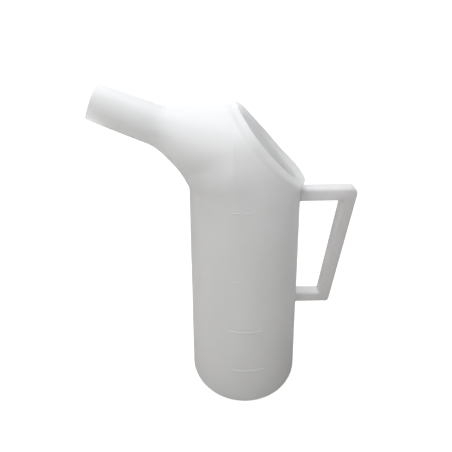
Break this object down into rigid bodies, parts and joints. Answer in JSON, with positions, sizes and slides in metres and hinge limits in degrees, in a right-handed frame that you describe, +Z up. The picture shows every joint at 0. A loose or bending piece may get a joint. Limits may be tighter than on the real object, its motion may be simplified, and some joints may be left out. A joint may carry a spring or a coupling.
{
  "type": "calf feeding jug",
  "caption": "Tall tapered milky plastic jug with a slanted open mouth, a rising pouring spout, a square-section side handle and raised fill marks.",
  "frame": {"origin": "centre of the flat underside, on the surface the jug stands on", "axes": "+Z up, spout points along -X, handle along +X, the jug is symmetric about the X-Z plane except for the fill marks on the -Y side"},
  "size_m": [0.2262, 0.1196, 0.3165],
  "materials": {
    "milky_wall": "milky translucent polyethylene, soft satin sheen",
    "milky_handle": "milky polyethylene, thicker and more opaque than the wall, soft satin sheen",
    "raised_marks": "milky polyethylene, raised lines slightly lighter than the wall"
  },
  "bodies": {
    "root": {"base_cup": "milky_wall", "body_wall": "milky_wall", "hood": "milky_wall", "mouth_lip": "milky_wall", "spout": "milky_wall", "handle_upper_arm": "milky_handle", "handle_lower_arm": "milky_handle", "handle_grip": "milky_handle", "fill_mark_1": "raised_marks", "fill_mark_2": "raised_marks", "fill_mark_3": "raised_marks", "fill_mark_4_left": "raised_marks", "fill_mark_4_right": "raised_marks", "numeral_one": "raised_marks"}
  },
  "joints": []
}
